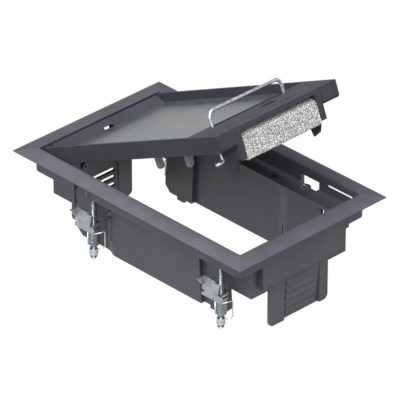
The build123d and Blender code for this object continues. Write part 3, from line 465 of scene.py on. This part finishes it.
def bushProfile():
    # Bore, ringed sleeve, neck, wide body and neck again, with broken edges; a ring's radius falls from its
    # middle to its edges by the ring's depth times the share of its half width
    bore, neck, body, edge = bush["bore"], bush["neck"], bush["body"], bush["edge"]
    ringPitch = (bush["foot"] - bush["sleeveFoot"]) / bush["rings"]
    rings = [
        (
            bush["sleeve"] - bush["ringDepth"] * abs(share),
            bush["sleeveFoot"] + ringPitch * (row + 0.5 + 0.5 * share),
        )
        for row in range(bush["rings"]) for share in bush["ringShares"]
    ]
    return [(bore, bush["sleeveFoot"] + edge), (bore + edge, bush["sleeveFoot"])] + rings + [
        (neck, bush["foot"]), (neck, bush["bodyFoot"]), (body - edge, bush["bodyFoot"]),
        (body, bush["bodyFoot"] + edge), (body, bush["bodyTop"] - edge), (body - edge, bush["bodyTop"]),
        (neck, bush["bodyTop"]), (neck, bush["top"] - bush["topEdge"]), (neck - bush["topEdge"], bush["top"]),
        (bore + edge, bush["top"]), (bore, bush["top"] - edge),
    ]


def collarProfile():
    # Bore and outside of the stop collar, with a groove round its middle
    outside = [(collar["radius"] - inset, collar["foot"] + rise) for inset, rise in collar["profile"]]
    return [(collar["bore"], outside[0][1])] + outside + [(collar["bore"], outside[-1][1])]


bushFlats = {"count": bush["sides"], "flat": bush["flat"], "from": bush["flatFrom"], "above": bush["foot"]}
for place in clampPlaces:
    threadedScrew(place)
    turnedPiece(
        f"bush_{place}", bushProfile(), place, "sleeveSteel", f"bush_{place}", f"clamp_bush_{place}",
        bushFlats,
    )
    turnedPiece(
        f"collar_{place}", collarProfile(), place, "collarPlastic", f"screw_{place}", f"clamp_collar_{place}",
    )

print("wires")
wire = {
    "step": 0.35, "fineStep": 0.2, "leastRows": 6, "domeRows": 5, "dome": 0.5, "around": 20, "thinAround": 14,
}


def roundedPath(corners, radii, step):
    # Straight runs joined by arcs: each corner is replaced by the arc that touches both of its runs
    corners = [np.array(c, float) for c in corners]
    runs = [corners[0][None]]
    for before, corner, after, radius in zip(corners, corners[1:], corners[2:], radii):
        inDir = (corner - before) / np.linalg.norm(corner - before)
        outDir = (after - corner) / np.linalg.norm(after - corner)
        turn = np.arccos(np.clip(inDir @ outDir, -1, 1))
        side = outDir - (outDir @ inDir) * inDir
        side /= np.linalg.norm(side)
        angles = np.linspace(0, turn, max(wire["leastRows"], int(radius * turn / step)))[:, None]
        start = corner - radius * np.tan(turn / 2) * inDir
        runs.append(start + radius * np.sin(angles) * inDir + radius * (1 - np.cos(angles)) * side)
    runs.append(corners[-1][None])
    return np.concatenate(runs)


def wireMesh(name, path, radius, sideDir, around):
    # Circle of the wire carried along a flat path; each end closes over a dome, whose rows shrink as the sine
    # of an angle that runs from nothing to a right angle
    ahead = np.gradient(path, axis=0)
    ahead /= np.linalg.norm(ahead, axis=1)[:, None]
    side = np.repeat(np.array(sideDir, float)[None], len(path), 0)
    upDir = np.cross(ahead, side)
    rows = wire["domeRows"]
    shrink = np.sin(np.linspace(0, pi / 2, rows + 1))[:-1]
    reach = (radius * wire["dome"] * (1 - shrink))[:, None]
    centres = np.concatenate([path[0] + reach * ahead[0], path[1:-1], path[-1] - reach[::-1] * ahead[-1]])
    widths = np.concatenate([shrink, np.ones(len(path) - 2), shrink[::-1]])
    sides, ups = (
        np.concatenate([np.repeat(way[:1], rows, 0), way[1:-1], np.repeat(way[-1:], rows, 0)])
        for way in (side, upDir)
    )
    angle = np.linspace(0, 2 * pi, around, endpoint=False)
    ring = np.cos(angle)[None, :, None] * sides[:, None] + np.sin(angle)[None, :, None] * ups[:, None]
    return surfaceMesh(name, centres[:, None] + radius * widths[:, None, None] * ring)


bailWire = {
    "u": 163.8, "half": 34.0, "radius": 1.24, "barV": 13.5, "bend": 5.0,
    "footV": -22.3, "hook": 2.2, "tail": 4.5,
}
bailHalf, hookOut = bailWire["half"], bailWire["half"] + bailWire["hook"] + bailWire["tail"]
bailCorners = [
    (-hookOut, bailWire["footV"]), (-bailHalf, bailWire["footV"]), (-bailHalf, bailWire["barV"]),
    (bailHalf, bailWire["barV"]), (bailHalf, bailWire["footV"]), (hookOut, bailWire["footV"]),
]
bailPath = roundedPath(
    [lidPoints(bailWire["u"], y, v) for y, v in bailCorners],
    [bailWire["hook"], bailWire["bend"], bailWire["bend"], bailWire["hook"]], wire["step"],
)
bailMesh = wireMesh("bailWire", bailPath, bailWire["radius"], lidDir, wire["around"])
finishPiece("bail", bailMesh, "brightWire", "bail", ["bail"])

# The loop's places are (across, inwards) from the clamp's axis; the clip's stub is the run after its bend
clip = {"offset": 0.5, "front": 5.05, "foot": 23.8, "drop": 9.0, "bend": 2.5, "stub": 0.01, "radius": 0.5}
loop = {
    "start": (6.0, -5.05), "out": (8.5, 3.0), "back": (7.0, -1.8), "top": 24.3, "foot": 11.2, "bend": 0.9,
    "radius": 0.45,
}


def clipWire(place):
    # Down in front of the claw and round one bend
    x, y, way = clampPlaces[place]
    clipX, clipY = x - way * clip["offset"], y - way * clip["front"]
    low = clip["foot"] - clip["drop"] - clip["bend"]
    endX = clipX + way * (clip["bend"] + clip["stub"])
    corners = [(clipX, clipY, clip["foot"]), (clipX, clipY, low), (endX, clipY, low)]
    path = roundedPath(corners, [clip["bend"]], wire["fineStep"])
    mesh = wireMesh(f"clipWire_{place}", path, clip["radius"], acrossDir, wire["thinAround"])
    finishPiece(
        f"clip_{place}", mesh, "brightSteel", f"claw_{place}", [f"clamp_clip_{place}"]
    )


def loopWire(place):
    # Loop beside the bush: out from the claw's lower corner, down, and back under
    x, y, way = clampPlaces[place]
    start, out = loop["start"], loop["out"]
    route = [(start, loop["top"]), (out, loop["top"]), (out, loop["foot"]), (loop["back"], loop["foot"])]
    corners = [(x + way * across, y + way * inwards, height) for (across, inwards), height in route]
    path = roundedPath(corners, [loop["bend"], loop["bend"]], wire["fineStep"])
    side = np.array([out[1] - start[1], start[0] - out[0], 0.0])
    side /= np.linalg.norm(side)
    mesh = wireMesh(f"loopWire_{place}", path, loop["radius"], side, wire["thinAround"])
    finishPiece(f"loop_{place}", mesh, "brightSteel", f"bush_{place}", [])


for place in clampPlaces:
    clipWire(place)
    loopWire(place)

print("foam")
foam = {
    "outline": [(179.8, -21.9), (192.4, -21.9), (192.4, -5.2), (185.3, -0.65), (184.8, -0.65), (179.8, -5.2)],
    "half": 35.5, "step": 0.62, "corner": 0.9, "cornerRows": 4,
    "capRows": 18, "capEdge": 0.97, "capEase": 0.12, "endInset": 0.45,
    "pit": 0.42, "pitGain": 1.6, "pitCut": 0.35, "poleScale": 0.05, "polePit": 0.1, "seed": 11,
}


def foamBlock():
    # Section of the block with rounded corners, carried across the lid and drawn in to a point at both
    # ends; a smoothed random value per point then presses the skin inwards
    outline, cut = foam["outline"], foam["corner"]
    runs = []
    for before, corner, after in zip(outline[-1:] + outline[:-1], outline, outline[1:] + outline[:1]):
        before, corner, after = (np.array(p, float) for p in (before, corner, after))
        toBefore = (before - corner) / np.linalg.norm(before - corner)
        toAfter = (after - corner) / np.linalg.norm(after - corner)
        start, end = corner + cut * toBefore, corner + cut * toAfter
        bend = np.linspace(0, 1, foam["cornerRows"])[:, None]
        runs.append((1 - bend) ** 2 * start + 2 * bend * (1 - bend) * corner + bend**2 * end)
        run = np.linalg.norm(after - corner) - 2 * cut
        along = np.linspace(0, 1, max(2, int(run / foam["step"])))[1:-1, None]
        runs.append(end + along * (run * toAfter))
    section = np.concatenate(runs)
    middle = section.mean(0)
    half, inset = foam["half"], foam["endInset"]
    capScale = np.linspace(0.0, foam["capEdge"], foam["capRows"])
    runY = np.linspace(-half + inset, half - inset, int(2 * half / foam["step"]))
    capY = np.full(len(capScale), half)
    capY[-1] -= foam["capEase"]
    rowY = np.concatenate([-capY, runY, capY[::-1]])
    rowScale = np.concatenate([capScale, np.ones(len(runY)), capScale[::-1]])
    flat = middle + rowScale[:, None, None] * (section - middle)[None]
    points = lidPoints(flat[..., 0], np.repeat(rowY[:, None], len(section), 1), flat[..., 1])
    ahead = np.gradient(points, axis=0)
    around = np.roll(points, -1, axis=1) - np.roll(points, 1, axis=1)
    normal = np.cross(ahead, around)
    normal /= np.maximum(np.linalg.norm(normal, axis=-1, keepdims=True), 1e-9)
    centre = lidPoints(middle[0], 0.0, middle[1])
    outward = np.sign(((points - centre) * normal).sum(-1, keepdims=True))
    rough = np.random.default_rng(foam["seed"]).random(points.shape[:2])
    rough = (2 * rough + np.roll(rough, 1, 0) + np.roll(rough, 1, 1)) / 4
    depth = foam["pit"] * np.clip(foam["pitGain"] * rough - foam["pitCut"], 0, 1)
    depth[rowScale < foam["poleScale"]] = foam["polePit"]
    return points - outward * normal * depth[..., None]


foamMesh = surfaceMesh("foamBlock", foamBlock())
foamPiece = finishPiece("outletFoam", foamMesh, "outletFoam", "cord_outlet", ["outlet_foam"])

# The studio is in metres and watts
print("studio")
studio = {
    "floorHalf": 15.0, "floorDrop": 0.0002, "floorGlow": 1.0, "floorRoughness": 0.9, "world": 0.12,
    "aim": (0, 0, 0.05),
}
lamps = {
    "key": {"place": (0.9, -2.8, 1.4), "size": 2.0, "energy": 60.0},
    "top": {"place": (-0.6, -0.15, 2.9), "size": 1.2, "energy": 185.0},
    "front": {"place": (1.05, -1.5, 2.5), "size": 2.6, "energy": 225.0},
    "slope": {"place": (2.4, 1.8, 0.42), "size": 2.2, "energy": 28.0},
}
scene = bpy.context.scene
floorHalf, floorLevel = studio["floorHalf"], float(cadLow.z) - studio["floorDrop"]
floorMesh = bpy.data.meshes.new("studioFloor")
floorMesh.from_pydata(
    [(x * floorHalf, y * floorHalf, floorLevel) for x, y in ((-1, -1), (1, -1), (1, 1), (-1, 1))],
    [], [(0, 1, 2, 3)],
)
studioFloor = bpy.data.objects.new("studioFloor", floorMesh)
scene.collection.objects.link(studioFloor)
floorFinish, floorShader = newFinish("floorFinish", studio["floorRoughness"])
floorShader.inputs["Base Color"].default_value = (0.0, 0.0, 0.0, 1)
floorShader.inputs["Specular IOR Level"].default_value = 0.0
floorShader.inputs["Emission Color"].default_value = (1, 1, 1, 1)
floorShader.inputs["Emission Strength"].default_value = studio["floorGlow"]
floorMesh.materials.append(floorFinish)

scene.world = bpy.data.worlds.new("studioWorld")
scene.world.use_nodes = True
background = scene.world.node_tree.nodes["Background"]
background.inputs["Color"].default_value = (1, 1, 1, 1)
background.inputs["Strength"].default_value = studio["world"]
scene.view_settings.view_transform = "Standard"
for name, lamp in lamps.items():
    light = bpy.data.lights.new(name, "AREA")
    light.energy = lamp["energy"]
    light.size = lamp["size"]
    lampObject = bpy.data.objects.new(name, light)
    scene.collection.objects.link(lampObject)
    lampObject.location = lamp["place"]
    ahead = Vector(studio["aim"]) - lampObject.location
    lampObject.rotation_euler = ahead.to_track_quat("-Z", "Y").to_euler()

# The camera looks at the middle of the finished floor; distance, right and up are in metres
view = {
    "azimuth": 45.87, "elevation": 30.71, "lens": 433.3, "sensor": 36.0, "distance": 3.335,
    "right": 0.00132, "up": -0.0178, "near": 0.1, "far": 100.0,
}
azimuth, elevation = radians(view["azimuth"]), radians(view["elevation"])
back = Vector((sin(azimuth) * cos(elevation), -cos(azimuth) * cos(elevation), sin(elevation)))
right = Vector((cos(azimuth), sin(azimuth), 0))
up = back.cross(right)
camera = bpy.data.objects.new("camera", bpy.data.cameras.new("camera"))
scene.collection.objects.link(camera)
camera.data.lens = view["lens"]
camera.data.sensor_width = view["sensor"]
camera.data.clip_start, camera.data.clip_end = view["near"], view["far"]
target = Vector((0, 0, floorZ * mm))
camera.location = target + back * view["distance"] + right * view["right"] + up * view["up"]
camera.rotation_mode = "QUATERNION"
camera.rotation_quaternion = (-back).to_track_quat("-Z", "Y")
scene.camera = camera

print("done")
